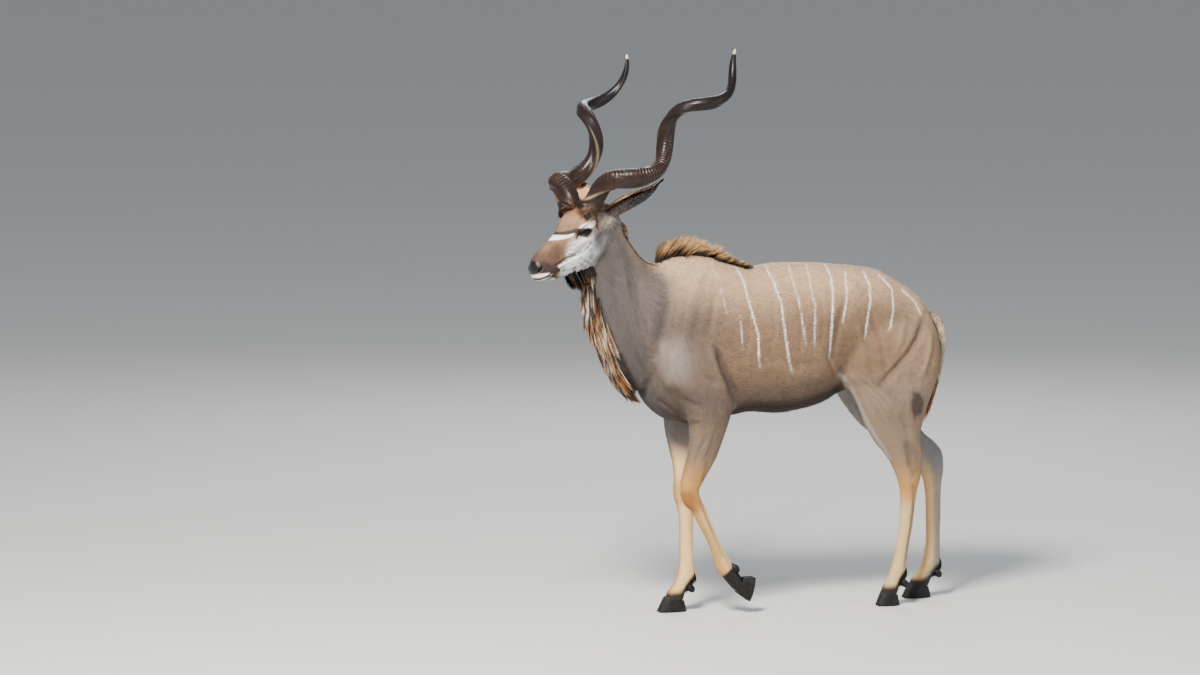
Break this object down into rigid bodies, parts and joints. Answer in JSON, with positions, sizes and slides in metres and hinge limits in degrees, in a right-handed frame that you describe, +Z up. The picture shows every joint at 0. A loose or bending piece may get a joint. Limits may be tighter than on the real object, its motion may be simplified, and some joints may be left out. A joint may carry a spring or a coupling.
{
  "type": "greater kudu bull",
  "caption": "Life-size greater kudu bull in mid-step on the floor, with spiral horns, throat fringe and withers crest.",
  "frame": {"origin": "middle of the bounding box in plan, at floor level under the soles", "axes": "+Z up, -X the way the animal walks, -Y its left side"},
  "size_m": [1.8094, 0.7864, 2.2433],
  "materials": {
    "hide_body": "short flat warm tan-brown hair with thin white stripes",
    "hide_neck": "short grey-brown hair, long tan and black throat hair",
    "hide_head": "very short brown and pale grey hair with a white bar",
    "hide_leg": "short tan-ochre hair",
    "hide_ear": "short grey-brown hair with a dark rim",
    "horn": "dark brown keratin, ringed, semi-gloss, ivory at the tips",
    "hoof": "charcoal keratin, dull",
    "eye": "wet dark brown"
  },
  "bodies": {
    "root": {"torso": "hide_body", "neck": "hide_neck", "head": "hide_head", "tail": "hide_body", "leg_fore_left": "hide_leg", "leg_fore_right": "hide_leg", "leg_hind_left": "hide_leg", "leg_hind_right": "hide_leg", "ear_left": "hide_ear", "ear_right": "hide_ear", "horn_left": "horn", "horn_right": "horn", "eye_left": "eye", "eye_right": "eye", "hoof_fore_left_outer": "hoof", "dewclaw_fore_left_outer": "hoof", "hoof_fore_left_inner": "hoof", "dewclaw_fore_left_inner": "hoof", "hoof_fore_right_outer": "hoof", "dewclaw_fore_right_outer": "hoof", "hoof_fore_right_inner": "hoof", "dewclaw_fore_right_inner": "hoof", "hoof_hind_left_outer": "hoof", "dewclaw_hind_left_outer": "hoof", "hoof_hind_left_inner": "hoof", "dewclaw_hind_left_inner": "hoof", "hoof_hind_right_outer": "hoof", "dewclaw_hind_right_outer": "hoof", "hoof_hind_right_inner": "hoof", "dewclaw_hind_right_inner": "hoof"}
  },
  "joints": []
}
